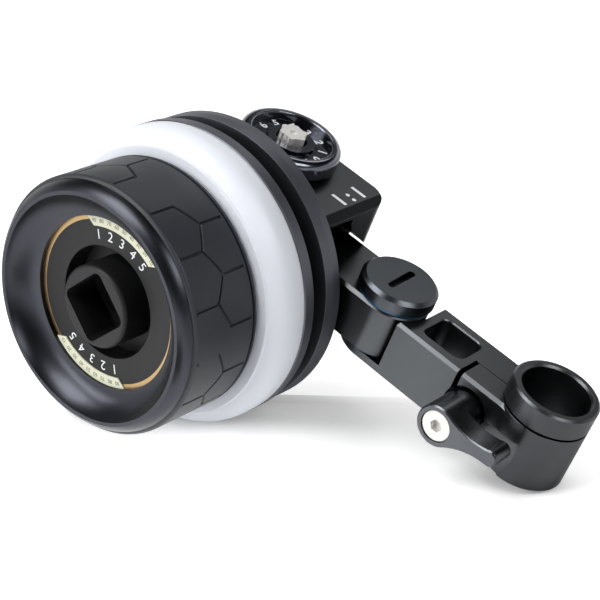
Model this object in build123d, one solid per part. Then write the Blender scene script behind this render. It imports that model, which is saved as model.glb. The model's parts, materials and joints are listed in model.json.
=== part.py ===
from build123d import *
import os
from math import cos, pi, radians, sin, sqrt

# Single-sided follow focus on a rod clamp arm, all sizes in millimetres.
# The rod bore runs along Z and its centre is the origin. The folding arm runs
# from the clamp towards -X, the hand wheel turns about a Y axis and faces -Y.

# ---- rod clamp arm -------------------------------------------------------
ROD_D = 15.0              # rod that the clamp takes
BORE_CLEAR = 0.05         # radial running fit of the rod in the bore
RING_WALL = 1.95          # wall of the clamp ring round the bore
RING_H = 20.0             # height of the ring, lower lip to upper lip
LIP = 0.45                # chamfer on the lips of the ring's bore and its upper rim
ARM_W = 15.4              # width of the clamp arm
ARM_T = 14.2              # thickness of both arms
ARM_EDGE = 0.7            # chamfer on the long edges of the arms
ARM_PITCH = 41.5          # rod bore to pivot axis
JAW_BLEND = 4.0           # radius where the arm runs into the ring
PLATE_T = 2.2             # lower plate of the half lap, under the knuckle
LAP_GAP = 0.9             # knuckle to the shoulder of the half lap
LAP_SLANT = 2.4           # how far the shoulder leans back at the front edge
WINDOW_WALL = 1.9         # walls before and behind the lightening window
WINDOW_SIDE = 3.0         # walls beside it
WINDOW_R = 2.0            # its corner radius
WINDOW_EDGE = 0.3         # chamfer round its mouth
SLIT = 0.4                # lengthwise clamp slit
SLIT_Y = -1.1             # lengthwise slit, off the centre line
CROSS_SLIT = 1.1          # crosswise clamp slit that frees the jaw
CROSS_BACK = 3.6          # lever axis to the crosswise slit
GROOVE_H = 0.6            # groove that parts the collar from the jaw
GROOVE_LIFT = 0.2         # groove above the top face of the arm
GROOVE_END = 4.0          # how far the groove runs to the rear on the outer side

# ---- clamp lever ---------------------------------------------------------
LEVER_OUT = 3.8           # ring to the lever axis
HUB_R = 4.6               # lever hub
HUB_L = 10.4              # how far the hub stands out of the arm's side
HUB_SPACE = 0.6           # air round the hub in its round seat
WING_L = 14.8             # lever axis to the tip of the wing
WING_W = 3.7              # width of the wing at its tip
WING_T = 5.6              # thickness of the wing
WING_RISE = 1.95          # tip's centre above the lever axis
WING_WAIST = 0.95         # how far both long edges are drawn in
WING_ROOT = (66.0, -50.0) # where the long edges leave the hub, degrees
LEVER_EDGE = 0.3          # chamfer on the lever's face
BOLT_R = 2.5              # clamp bolt
BOLT_HOLE_CLEAR = 0.2     # bolt in the front half of the jaw
LEVER_SCREW_R = 1.5       # screw that holds the lever on the bolt
LEVER_SCREW_HEAD_R = 3.3
LEVER_SCREW_HEAD_T = 2.0
LEVER_SCREW_L = 7.0
HEX_AF = 2.5              # hexagon in the small screws
INSERT_WALL = 1.1         # threaded insert in the rear half of the arm
INSERT_L = 5.0
INSERT_DEEP = 0.6         # insert below the rear side of the arm
LEVER_WASHER_T = 0.6
SCOOP_R = 15.0            # finger recess in the side of the jaw
SCOOP_DEEP = 1.8          # its depth at the lever axis
SCOOP_TILT = 11.0         # it runs out towards the ring, degrees
SCOOP_UP = 11.0           # its upper wall, degrees above the lever axis
SCOOP_DOWN = 76.0         # its lower wall, degrees below

# ---- pivot ---------------------------------------------------------------
LINK_W = 16.4             # width of the link arm and diameter of its knuckle
PIVOT_R = 4.0             # shoulder of the pivot screw
PIVOT_THREAD_R = 3.0      # its thread in the lower plate
BUSH_WALL = 1.0           # bush in the knuckle
CAP_R = 8.7               # head of the pivot screw
CAP_H = 3.3
CAP_EDGE = 0.8
COIN_L = 9.6              # coin slot
COIN_W = 1.7
COIN_DEEP = 1.5
COIN_TURN = 93.0          # direction of the slot, degrees from +X
RUB_T = 0.7               # friction washer under the head
THRUST_T = 0.5            # thrust washer under the knuckle
SWING_GAP = 0.7           # link arm to lower plate when the arm folds

# ---- gearbox -------------------------------------------------------------
LINK_PITCH = 37.75        # pivot axis to gear shaft axis
WHEEL_DROP = 9.5          # wheel axis below the origin
BOX_LEFT = 11.5           # gear shaft axis to the housing's left side
BOX_RIGHT = 16.95         # gear shaft axis to the housing's right side
BOX_FRONT = 11.8          # gear shaft axis to the housing's front
BOX_BACK = 11.3           # gear shaft axis to the housing's back
BOX_TOP = 15.85
BOX_BOTTOM = -22.0
BOX_R = 2.0               # upright corners of the housing
BOX_R_FAR = 8.0           # upright corner at the back, under the knob
BOX_EDGE = 0.4            # chamfer round the top
EAVE = 5.4                # housing head over the link arm
EAVE_R = 5.0              # upright corner of the head at the back
EAVE_EDGE_X = 2.2         # sloping edge along the head
EAVE_EDGE_Z = 1.1
EAVE_ROOF = 0.8           # head left above its recess
RECESS_SIDE = -1.4        # inner side of the recess in the head
RECESS_HIGH = 12.6        # where that side starts to lean
RECESS_TURN = (-0.2, 10.4)  # where it turns towards the link arm's rear edge
BASE_T = 3.0              # base plate that closes the housing
BASE_SEAT = 0.8           # base plate left under its bearing
BASE_EDGE = 0.6           # chamfer under the base plate
CAVITY_R = 9.5            # gear space round the gear shaft
CAVITY_R_FRONT = 9.25     # gear space round the wheel shaft
WALL = 2.1                # housing front wall
ROOF = 1.0                # housing over the upper bearing
SEAT_LIP = 1.2            # upper bearing seat below the bearing
NOSE_R = 9.0              # bearing nose inside the wheel
NOSE_L = 14.2
NOSE_LIP = 1.0            # bearings inside the ends of the nose
BASE_SCREW_R = 0.8
BASE_SCREW_HEAD_R = 1.6
BASE_SCREW_L = 5.5
BASE_SCREW_IN = 3.5       # right-hand screws from the housing's sides
BASE_SCREW_OUT = 1.2      # left-hand screws outside the gear space
LINK_SCREW_R = 1.5        # screws from the housing into the link arm
LINK_SCREW_HEAD_R = 2.6
LINK_SCREW_HEAD_H = 2.6
LINK_SCREW_L = 11.4
LINK_SCREW_SIDE = 4.8     # screws beside the centre line
LINK_SCREW_SEAT = 4.4     # housing wall between screw head and link arm
LINE_W = 0.35             # fine line engraved along the link arm
LINE_DEEP = 0.4
LINE_L = 6.6
LINE_IN = 2.9             # its middle from the arm's front side
LINE_LEAN = 10.0          # degrees

# ---- gears and bearings --------------------------------------------------
MODULE = 0.8
MITRE_TEETH = 20          # both bevel gears, one to one
MITRE_FACE = 2.3          # their tooth length along the shaft
DRIVE_TEETH = 25          # gear that meets the lens ring
DRIVE_W = 6.0
DRIVE_GAP = 1.0           # base plate to drive gear
DRIVE_DISH = 1.0          # recess for the washer under the gear
DRIVE_WASHER_R = 6.0
DRIVE_WASHER_T = 0.8
GEAR_SHAFT_R = 3.5
WHEEL_SHAFT_R = 4.0
SHAFT_STEP = 0.5          # gear shaft is thinner where the wheel's gear passes
SHAFT_NECK = 1.2          # wheel shaft is thinner under its gear
COLLAR_L = 1.2            # collars that locate the shafts
FLAT = 0.6                # flats on the shaft ends
MITRE_HUB_R = 5.6
MITRE_HUB_L = 4.0
PIN_R = 0.9               # cross pin of the bevel gear
CLIP_T = 0.6              # retaining ring
CLIP_R = 3.6
CLIP_OPEN = 1.6
TAP_R = 1.5               # threads in the ends of the gear shaft
TAP_L = 8.0
BEARING_T = 4.0
WHEEL_BEARING_R = 7.0
GEAR_BEARING_R = 6.5
RACE = 0.3                # share of each race in the bearing's wall
BALL_FIT = 0.03
FIT = 0.05                # radial running fit of bushes
GAP = 0.3                 # air between parts that pass each other
PAD = 0.02                # faces that only touch stay this far apart

# ---- knob on the gear shaft ----------------------------------------------
KNOB_R = 11.5
KNOB_H = 4.85
KNOB_RIM = 2.4            # width of its rounded rim
KNOB_DISH = 2.0           # depth of the face inside the rim
KNOB_BOSS_R = 5.6
KNOB_BOSS_DROP = 1.0      # boss below the rim
KNOB_BOSS_EDGE = 0.3      # how far the boss tapers
STAR_R = 3.2              # lobed drive stub
STAR_LOBE_R = 0.95
STAR_H = 2.6
STAR_LOBES = 6
STAR_POCKET = 0.4         # air round the stub in the boss

# ---- hand wheel ----------------------------------------------------------
DISC_OUT = 8.0            # flange of the wheel outside the barrel
DISC_EDGE = 0.8           # chamfer on its rim
INDEX_T = 3.0             # index disc on the housing
INDEX_IN = 0.2            # its rim inside the flange's
INDEX_TAPER = 0.3         # its rim drawn in towards the front
INDEX_TAPER_L = 2.3       # length of that taper
INDEX_BACK = 1.3          # its rim reaches back past the housing's front
INDEX_RIM = 1.5           # width of that rim
INDEX_SCREW_AT = 11.6     # its screws from the wheel axis
INDEX_SCREW_TURN = 35.0   # and their angle to the horizontal
DISC_GAP = 4.0            # open groove between index disc and flange
FLANGE_T = 3.8
FLANGE_SPACE = 3.0        # bearing nose to the flange's bore
MARK_L = 8.2              # marking ring, along the axis
MARK_CONE = 5.8           # its domed stretch
MARK_BULGE = 0.9          # how far the dome bulges
MARK_IN = 0.1             # its rear rim inside the flange's
MARK_STEP = 3.6           # front rim inside the flange's
MARK_EDGE = 0.5           # rounding of its front rim
MARK_SEAM = 0.5           # shadow gap between marking ring and grip
GRIP_L = 18.7             # rubber grip
GRIP_T = 2.6              # thickness of its rubber
GRIP_SHOULDER = 0.9       # rounded front shoulder
BARREL_R = 25.3           # barrel that carries grip and marking ring
BARREL_WALL = 3.8
SPIGOT = 3.2              # front ring laps the barrel
SPIGOT_L = 6.0            # and reaches into it
FRONT_IN = 0.8            # front ring inside the grip's surface
FRONT_BULGE = 0.3         # how far its outer side bulges
LIP_OUT = 2.5             # front ring stands in front of the grip
LIP_BACK = 2.4            # its crest inside its outer side
LIP_W = 0.8
DISH_W = 5.9              # crest to the foot of the dish
DISH_DEEP = 6.0           # crest to face plate
DISH_HOLLOW = 0.9         # how far the dish is hollowed
DISH_STEP = 1.0           # low wall from the dish's foot down to the face plate
BORE_R_FACE = 12.2        # recess round the crank socket
RECESS_DEEP = 6.5         # face plate to the floor of the recess
ACCENT_W = 1.0            # metal accent ring
ACCENT_T = 1.2
INLAY_W = 2.3             # pale inlays beside the accent ring
INLAY_SPAN = 67.0         # degrees
INLAY_AT = 93.0           # centre of the first inlay, degrees
INLAY_SLOPE = 4.5         # slanted ends, degrees
INLAY_T = 0.25
SOCKET_R = 9.0            # crank socket boss
SOCKET_PROUD = 3.8        # boss in front of the face plate
SOCKET_EDGE = 0.9
SOCKET_SQ = 12.0          # square of the crank socket
SOCKET_CORNER = 1.6
SOCKET_DEEP = 8.3
SOCKET_TURN = 57.0        # turn of the square at rest, degrees
SOCKET_FOOT = 1.3         # thickness of the socket's foot
HUB_SCREW_R = 1.6
HUB_SCREW_HEAD_R = 3.6
HUB_SCREW_HEAD_H = 1.5
HUB_SCREW_L = 7.0
WEB_T = 3.0
HUB_WALL = 4.2
HUB_PIN_R = 1.2
DAMP_IN = 4.8             # damping ring inside the rims of the discs
DAMP_W = 6.0
SMALL_SCREW_R = 1.0       # screws of flange and index disc
SMALL_HEAD_R = 2.0
SMALL_HEAD_T = 1.2
FLANGE_SCREW_L = 8.8
INDEX_SCREW_L = 4.9
FLANGE_SCREWS = 6

# ---- places that follow from the sizes -----------------------------------
BORE_R = ROD_D / 2 + BORE_CLEAR
RING_R = BORE_R + RING_WALL
ARM_LOW = -RING_H / 2
ARM_TOP = ARM_LOW + ARM_T
ARM_MID = (ARM_LOW + ARM_TOP) / 2
SIDE_Y = -ARM_W / 2
PIVOT_X = -ARM_PITCH
GEAR_X = PIVOT_X - LINK_PITCH
WHEEL_Z = -WHEEL_DROP
KNUCKLE_R = LINK_W / 2
LEVER_X = -RING_R - LEVER_OUT
CROSS_X = LEVER_X - CROSS_BACK
BOX_X0 = GEAR_X - BOX_LEFT
BOX_X1 = GEAR_X + BOX_RIGHT
EAVE_X = BOX_X1 + EAVE
BASE_Z = BOX_BOTTOM + BASE_T
MITRE_R = MODULE * MITRE_TEETH / 2
INDEX_Y = -BOX_FRONT - INDEX_T
DISC_R = BARREL_R + DISC_OUT
INDEX_R = DISC_R - INDEX_IN
DAMP_R = DISC_R - DAMP_IN
FLANGE_REAR = INDEX_Y - DISC_GAP
FLANGE_Y = FLANGE_REAR - FLANGE_T
MARK_Y = FLANGE_Y - MARK_L
GRIP_REAR = MARK_Y - MARK_SEAM
GRIP_Y = GRIP_REAR - GRIP_L
GRIP_R = BARREL_R + GRIP_T
FRONT_R = GRIP_R - FRONT_IN
LIP_R = FRONT_R - LIP_BACK
DISH_R = LIP_R - DISH_W
CREST_Y = GRIP_Y - LIP_OUT
FACE_Y = CREST_Y + DISH_DEEP
RECESS_Y = FACE_Y + RECESS_DEEP
WEB_REAR = RECESS_Y + WEB_T
SOCKET_Y = FACE_Y - SOCKET_PROUD
NOSE_Y = -BOX_FRONT - NOSE_L


def profile(*corners):
    """Flat outline from (u, v) or (u, v, fillet radius) corners."""
    face = make_face(Polyline(*[c[:2] for c in corners], close=True))
    for corner in corners:
        if len(corner) == 3:
            point = face.vertices().sort_by_distance((corner[0], corner[1], 0))[0]
            face = fillet(point, corner[2])
    return face


def turned(face):
    """Solid of an (r, height) outline turned about the Z axis."""
    return Rot(90, 0, 0) * revolve(face, Axis.Y)


def on_wheel(face):
    """Solid of an (r, y) outline turned about the wheel axis."""
    return Pos(GEAR_X, 0, WHEEL_Z) * revolve(face, Axis.Y)


def tube_y(r_out, r_in, y0, y1):
    return on_wheel(profile((r_in, y0), (r_out, y0), (r_out, y1), (r_in, y1)))


def rod_y(r, y0, y1, x=GEAR_X, z=WHEEL_Z):
    return Pos(x, (y0 + y1) / 2, z) * Rot(90, 0, 0) * Cylinder(r, abs(y1 - y0))


def rod_z(r, z0, z1, x=GEAR_X, y=0.0):
    return Pos(x, y, (z0 + z1) / 2) * Cylinder(r, abs(z1 - z0))


def block(x0, x1, y0, y1, z0, z1):
    size = (x1 - x0, y1 - y0, z1 - z0)
    return Pos((x0 + x1) / 2, (y0 + y1) / 2, (z0 + z1) / 2) * Box(*size)


def facing_front(y, radius=0.0, turn=0.0, x=GEAR_X, z=WHEEL_Z):
    """Place at an angle round a Y axis whose own Z axis points to the front."""
    origin = (x + radius * cos(radians(turn)), y, z + radius * sin(radians(turn)))
    return Plane(origin=origin, x_dir=(1, 0, 0), z_dir=(0, -1, 0))


def facing_back(y, radius=0.0, turn=0.0):
    """The same place, its own Z axis pointing to the rear."""
    place = facing_front(y, radius, turn)
    return Plane(origin=place.origin, x_dir=(1, 0, 0), z_dir=(0, 1, 0))


def hex_hole(across, depth):
    """Hexagon socket cutter that goes down from the XY plane."""
    return extrude(RegularPolygon(across / sqrt(3), 6), -depth)


def cap_screw(head_r, head_h, shank_r, shank_l, hexagon):
    """Cap screw that points down -Z, its head standing on the XY plane."""
    head = Pos(0, 0, head_h / 2) * Cylinder(head_r, head_h)
    head = chamfer(head.edges().group_by(Axis.Z)[-1], head_h / 6)
    screw = head + Pos(0, 0, -shank_l / 2) * Cylinder(shank_r, shank_l)
    return screw - Pos(0, 0, head_h) * hex_hole(hexagon, head_h * 0.6)


def flat_screw(head_r, head_t, shank_r, length, hexagon):
    """Countersunk screw that points down -Z, its face on the XY plane."""
    body = turned(profile((0, 0), (head_r, 0), (head_r, -head_t / 5), (shank_r, -head_t),
                          (shank_r, -length), (0, -length)))
    return body - hex_hole(hexagon, head_t * 0.7)


def flat_seat(head_r, head_t, hole_r, depth):
    """Cutter for the hole of such a screw."""
    return turned(profile((0, GAP), (head_r + PAD, GAP), (head_r + PAD, -head_t / 5 - PAD),
                          (hole_r, -head_t - PAD), (hole_r, -depth), (0, -depth)))


def with_flat(radius, length):
    """Shaft end with a flat, standing on the XY plane."""
    return extrude(Circle(radius) - Pos(2 * radius - FLAT, 0) * Rectangle(2 * radius, 4 * radius), length)


def ball_bearing(bore_r, outer_r):
    """Outer race with balls, and inner race, standing on the XY plane."""
    race = (outer_r - bore_r) * RACE
    ball_r = (outer_r - bore_r) / 2 - race - BALL_FIT
    mid_r = (outer_r + bore_r) / 2
    outer = Cylinder(outer_r, BEARING_T) - Cylinder(outer_r - race, BEARING_T)
    inner = Cylinder(bore_r + race, BEARING_T) - Cylinder(bore_r, BEARING_T)
    count = int(2 * pi * mid_r / (3 * ball_r))
    balls = [Rot(0, 0, 360 / count * i) * Pos(mid_r, 0, 0) * Sphere(ball_r) for i in range(count)]
    upright = Pos(0, 0, BEARING_T / 2)
    return [upright * piece for piece in [outer] + balls], upright * inner


def race_r(bore_r, outer_r):
    """Outer radius of a bearing's inner race."""
    return bore_r + (outer_r - bore_r) * RACE


def mitre_gear(bore_r, hub_r, hub_l):
    """Bevel gear on Z, its apex at the origin and its back at z = pitch radius."""
    near = (MITRE_R - MITRE_FACE) / MITRE_R
    root_r = MITRE_R - 1.84 * MODULE
    tip_r = MITRE_R + 1.34 * MODULE
    blank = turned(profile((0, MITRE_R * near), (root_r * near, MITRE_R * near), (root_r, MITRE_R),
                           (hub_r, MITRE_R), (hub_r, MITRE_R + hub_l), (0, MITRE_R + hub_l)))
    foot_r = root_r - MODULE / 2
    foot = 0.84 * MODULE
    crest = 0.31 * MODULE
    flank = [(foot_r, -foot), (tip_r, -crest), (tip_r, crest), (foot_r, foot)]
    far_end = Pos(0, 0, MITRE_R) * profile(*flank)
    near_end = Pos(0, 0, MITRE_R * near) * profile(*[(u * near, v * near) for u, v in flank])
    tooth = loft([far_end, near_end])
    gear = blank
    for i in range(MITRE_TEETH):
        gear += Rot(0, 0, 360 / MITRE_TEETH * i) * tooth
    return gear - rod_z(bore_r, 0, MITRE_R + hub_l + 1, x=0)


def spur_gear(teeth, width):
    """Spur gear with straight flanks, standing on the XY plane."""
    pitch_r = MODULE * teeth / 2
    step = 360 / teeth
    outline = []
    for i in range(teeth):
        for radius, share in ((pitch_r - 1.2 * MODULE, -0.36), (pitch_r + MODULE, -0.12),
                              (pitch_r + MODULE, 0.12), (pitch_r - 1.2 * MODULE, 0.36)):
            turn = radians(step * (i + share))
            outline.append((radius * cos(turn), radius * sin(turn)))
    return extrude(profile(*outline), width)


parts = {}

# ==== clamp arm ===========================================================
plan = make_face(Polyline((PIVOT_X, SIDE_Y), (0, SIDE_Y), (0, -SIDE_Y), (PIVOT_X, -SIDE_Y), close=True))
plan += Circle(RING_R)
plan += Pos(PIVOT_X, 0) * Circle(ARM_W / 2)
neck_x = -sqrt(RING_R ** 2 - SIDE_Y ** 2)
necks = [plan.vertices().sort_by_distance((neck_x, side * SIDE_Y, 0))[0] for side in (-1, 1)]
plan = fillet(necks, JAW_BLEND)
clamp_arm = extrude(Pos(0, 0, ARM_LOW) * plan, ARM_T)
clamp_arm = chamfer(clamp_arm.edges().group_by(Axis.Z)[-1], ARM_EDGE)
clamp_arm = chamfer(clamp_arm.edges().group_by(Axis.Z)[0], ARM_EDGE)
ring = rod_z(RING_R, ARM_LOW, -ARM_LOW, x=0)
ring = chamfer(ring.edges().group_by(Axis.Z)[0], ARM_EDGE)
clamp_arm += chamfer(ring.edges().group_by(Axis.Z)[-1], LIP)
lap_x = PIVOT_X + KNUCKLE_R + LAP_GAP
plate_z = ARM_LOW + PLATE_T
lap = profile((PIVOT_X - ARM_W, -ARM_W), (lap_x - LAP_SLANT, -ARM_W), (lap_x - LAP_SLANT, SIDE_Y),
              (lap_x, SLIT_Y), (lap_x, ARM_W), (PIVOT_X - ARM_W, ARM_W))
clamp_arm -= extrude(Pos(0, 0, plate_z) * lap, ARM_T)
window_x0 = lap_x + WINDOW_WALL
window_x1 = CROSS_X - CROSS_SLIT - WINDOW_WALL
window = RectangleRounded(window_x1 - window_x0, ARM_W - 2 * WINDOW_SIDE, WINDOW_R)
window_place = Pos((window_x0 + window_x1) / 2, 0, 0)
clamp_arm -= window_place * extrude(Pos(0, 0, ARM_LOW - 1) * window, ARM_T + 2)
clamp_arm -= window_place * extrude(Pos(0, 0, ARM_TOP - WINDOW_EDGE) * window, 2 * WINDOW_EDGE, taper=-45)
mouth_r = BORE_R + LIP + 1
clamp_arm -= turned(profile((0, ARM_LOW - 1), (mouth_r, ARM_LOW - 1), (BORE_R, ARM_LOW + LIP),
                            (BORE_R, -ARM_LOW - LIP), (mouth_r, -ARM_LOW + 1), (0, -ARM_LOW + 1)))
groove_z = ARM_TOP + GROOVE_LIFT
slit_rear = SLIT_Y + SLIT / 2
clamp_arm -= block(CROSS_X, -BORE_R + 1, SLIT_Y - SLIT / 2, slit_rear, ARM_LOW - 1, groove_z)
clamp_arm -= block(CROSS_X - CROSS_SLIT, CROSS_X, SIDE_Y - 1, slit_rear, ARM_LOW - 1, ARM_TOP + 1)
clamp_arm -= block(-RING_R - 1, 0, -RING_R - 1, slit_rear, groove_z, groove_z + GROOVE_H)
clamp_arm -= block(0, RING_R + 1, -RING_R - 1, GROOVE_END, groove_z, groove_z + GROOVE_H)

seat_y = SIDE_Y + SCOOP_DEEP
reach = 2 * SCOOP_R
scoop = Circle(SCOOP_R) & profile(
    (0, 0), (reach * cos(radians(SCOOP_UP)), reach * sin(radians(SCOOP_UP))), (reach, -reach),
    (reach * cos(radians(SCOOP_DOWN)), -reach * sin(radians(SCOOP_DOWN))))
clamp_arm -= facing_front(seat_y, x=LEVER_X, z=ARM_MID) * Rot(0, -SCOOP_TILT, 0) * extrude(scoop, HUB_L)
clamp_arm -= rod_y(HUB_R + HUB_SPACE, SIDE_Y - 1, seat_y, LEVER_X, ARM_MID)
insert_r = BOLT_R + FIT + INSERT_WALL
insert_y1 = ARM_W / 2 - INSERT_DEEP
insert_y0 = insert_y1 - INSERT_L
clamp_arm -= rod_y(BOLT_R + BOLT_HOLE_CLEAR, seat_y - 1, insert_y0 + 1, LEVER_X, ARM_MID)
clamp_arm -= rod_y(insert_r, insert_y0, ARM_W / 2 + 1, LEVER_X, ARM_MID)
clamp_arm -= rod_z(PIVOT_THREAD_R, ARM_LOW - 1, plate_z + 1, PIVOT_X)
parts["clamp_arm"] = clamp_arm
parts["clamp_insert"] = (rod_y(insert_r, insert_y0, insert_y1, LEVER_X, ARM_MID)
                         - rod_y(BOLT_R + FIT, insert_y0 - 1, insert_y1 + 1, LEVER_X, ARM_MID))

# ==== pivot ===============================================================
knuckle_z = plate_z + THRUST_T + PAD
cap_z = ARM_TOP + RUB_T + 2 * PAD
cap_top = cap_z + CAP_H
bush_r = PIVOT_R + FIT + BUSH_WALL
pivot_hole = rod_z(PIVOT_R + FIT, ARM_LOW, cap_z, PIVOT_X)
parts["thrust_washer"] = rod_z(KNUCKLE_R - LIP, plate_z, knuckle_z - PAD, PIVOT_X) - pivot_hole
parts["pivot_bush"] = rod_z(bush_r, knuckle_z, ARM_TOP, PIVOT_X) - pivot_hole
parts["friction_washer"] = rod_z(CAP_R - LIP, ARM_TOP + PAD, cap_z - PAD, PIVOT_X) - pivot_hole
pivot_screw = turned(profile(
    (0, ARM_LOW + PAD), (PIVOT_THREAD_R, ARM_LOW + PAD), (PIVOT_THREAD_R, plate_z), (PIVOT_R, plate_z),
    (PIVOT_R, cap_z), (CAP_R, cap_z), (CAP_R, cap_top - CAP_EDGE), (CAP_R - CAP_EDGE, cap_top), (0, cap_top)))
pivot_screw -= Pos(0, 0, cap_top - COIN_DEEP) * Rot(0, 0, COIN_TURN) \
    * extrude(SlotOverall(COIN_L, COIN_W), COIN_DEEP + 1)
parts["pivot_screw"] = Pos(PIVOT_X, 0, 0) * pivot_screw

# ==== link arm ============================================================
link = block(BOX_X1 + PAD, PIVOT_X, -KNUCKLE_R, KNUCKLE_R, ARM_LOW, ARM_TOP)
link += rod_z(KNUCKLE_R, ARM_LOW, ARM_TOP, PIVOT_X)
swing_x = PIVOT_X - ARM_W / 2 - SWING_GAP
link -= block(swing_x, PIVOT_X + LINK_W, -LINK_W, LINK_W, ARM_LOW - 1, knuckle_z)
rim = link.edges().group_by(Axis.Z)[-1].filter_by(lambda e: e.center().X > BOX_X1 + 2 * PAD)
link = chamfer(rim, ARM_EDGE)
sill = link.edges().group_by(Axis.Z)[0].filter_by(Axis.X)
link = chamfer(sill, LIP)
link -= rod_z(bush_r, ARM_LOW, ARM_TOP + 1, PIVOT_X)
line_x = (BOX_X1 + PIVOT_X - CAP_R) / 2
link -= Pos(line_x, -KNUCKLE_R + LINE_IN, ARM_TOP) * Rot(0, 0, -LINE_LEAN) * Box(LINE_L, LINE_W, 2 * LINE_DEEP)
link_screw_x = BOX_X1 - LINK_SCREW_SEAT
link_screw_z = ARM_MID
screws = []
for side in (-1, 1):
    place = Plane(origin=(link_screw_x, side * LINK_SCREW_SIDE, link_screw_z), x_dir=(0, 1, 0),
                  z_dir=(-1, 0, 0))
    screws.append(place * cap_screw(LINK_SCREW_HEAD_R, LINK_SCREW_HEAD_H, LINK_SCREW_R, LINK_SCREW_L, HEX_AF))
    link -= place * rod_z(LINK_SCREW_R, -LINK_SCREW_L - GAP, 0, x=0)
parts["link_arm"] = link
parts["link_screws"] = screws

# ==== gearbox housing =====================================================
box_plan = profile((BOX_X0, -BOX_FRONT, BOX_R), (BOX_X1, -BOX_FRONT),
                   (BOX_X1, BOX_BACK, BOX_R), (BOX_X0, BOX_BACK, BOX_R_FAR))
eave_plan = profile((BOX_X0, -BOX_FRONT, BOX_R), (EAVE_X, -BOX_FRONT, BOX_R),
                    (EAVE_X, BOX_BACK, EAVE_R), (BOX_X0, BOX_BACK, BOX_R_FAR))
eave_z = ARM_TOP + PAD
housing = extrude(Pos(0, 0, eave_z) * eave_plan, BOX_TOP - eave_z)
housing = chamfer(housing.edges().group_by(Axis.Z)[-1], BOX_EDGE)
slope = profile((EAVE_X - EAVE_EDGE_X, BOX_TOP), (EAVE_X, BOX_TOP - EAVE_EDGE_Z),
                (EAVE_X + 1, BOX_TOP - EAVE_EDGE_Z), (EAVE_X + 1, BOX_TOP + 1),
                (EAVE_X - EAVE_EDGE_X, BOX_TOP + 1))
housing -= extrude(Plane.XZ * slope, 2 * BOX_FRONT, both=True)
roof_z = BOX_TOP - EAVE_EDGE_Z - EAVE_ROOF
recess = profile((-BOX_FRONT - 1, ARM_LOW), (KNUCKLE_R, ARM_LOW), (KNUCKLE_R, eave_z), RECESS_TURN,
                 (RECESS_SIDE, RECESS_HIGH), (RECESS_SIDE, roof_z), (-BOX_FRONT - 1, roof_z))
recess_place = Plane(origin=(BOX_X1, 0, 0), x_dir=(0, 1, 0), z_dir=(1, 0, 0))
housing -= recess_place * extrude(recess, EAVE + 1)
housing += extrude(Pos(0, 0, BASE_Z) * box_plan, eave_z - BASE_Z)
housing += rod_y(NOSE_R, NOSE_Y, -BOX_FRONT + WALL)
top_seat = BOX_TOP - ROOF - BEARING_T
gear_race_r = race_r(GEAR_SHAFT_R, GEAR_BEARING_R)
housing -= rod_z(CAVITY_R, BASE_Z - 1, top_seat - SEAT_LIP)
housing -= rod_z(GEAR_BEARING_R, top_seat - SEAT_LIP - 1, top_seat + BEARING_T)
housing -= rod_z(gear_race_r + GAP, top_seat, BOX_TOP + 1)
front_bearing_y = NOSE_Y + NOSE_LIP
rear_bearing_y = -BOX_FRONT + WALL - NOSE_LIP - BEARING_T
wheel_race_r = race_r(WHEEL_SHAFT_R, WHEEL_BEARING_R)
housing -= rod_y(CAVITY_R_FRONT, -BOX_FRONT + WALL, 0)
housing -= rod_y(WHEEL_BEARING_R, NOSE_Y - 1, front_bearing_y + BEARING_T)
housing -= rod_y(WHEEL_BEARING_R, rear_bearing_y, -BOX_FRONT + WALL + 1)
housing -= rod_y(wheel_race_r + GAP, NOSE_Y, 0)
for side in (-1, 1):
    y = side * LINK_SCREW_SIDE
    turn = Rot(0, 90, 0)
    housing -= Pos(BOX_X1, y, link_screw_z) * turn * Cylinder(LINK_SCREW_R, 2 * LINK_SCREW_SEAT + 1)
    housing -= Pos((GEAR_X + link_screw_x) / 2, y, link_screw_z) * turn \
        * Cylinder(LINK_SCREW_HEAD_R + GAP, link_screw_x - GEAR_X)
diagonal = (CAVITY_R + BASE_SCREW_OUT) / sqrt(2)
base_screw_at = [(GEAR_X - diagonal, -diagonal), (GEAR_X - diagonal, diagonal),
                 (BOX_X1 - BASE_SCREW_IN, -BOX_FRONT + BASE_SCREW_IN),
                 (BOX_X1 - BASE_SCREW_IN, BOX_BACK - BASE_SCREW_IN)]
base = extrude(Pos(0, 0, BOX_BOTTOM) * box_plan, BASE_T)
base = chamfer(base.edges().group_by(Axis.Z)[0], BASE_EDGE)
low_seat = BOX_BOTTOM + BASE_SEAT
base -= rod_z(GEAR_BEARING_R, low_seat, BASE_Z + 1)
base -= rod_z(gear_race_r + GAP, BOX_BOTTOM - 1, low_seat + 1)
base_screws = []
for x, y in base_screw_at:
    under = Pos(x, y, BOX_BOTTOM) * Rot(180, 0, 0)
    head = (BASE_SCREW_HEAD_R, BASE_SCREW_HEAD_R - BASE_SCREW_R)
    base_screws.append(under * flat_screw(*head, BASE_SCREW_R, BASE_SCREW_L, BASE_SCREW_R * 1.4))
    base -= under * flat_seat(*head, BASE_SCREW_R, BASE_T + 1)
    housing -= rod_z(BASE_SCREW_R, BASE_Z - 1, BOX_BOTTOM + BASE_SCREW_L + GAP, x, y)
parts["gearbox_base"] = base
parts["base_screws"] = base_screws

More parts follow.
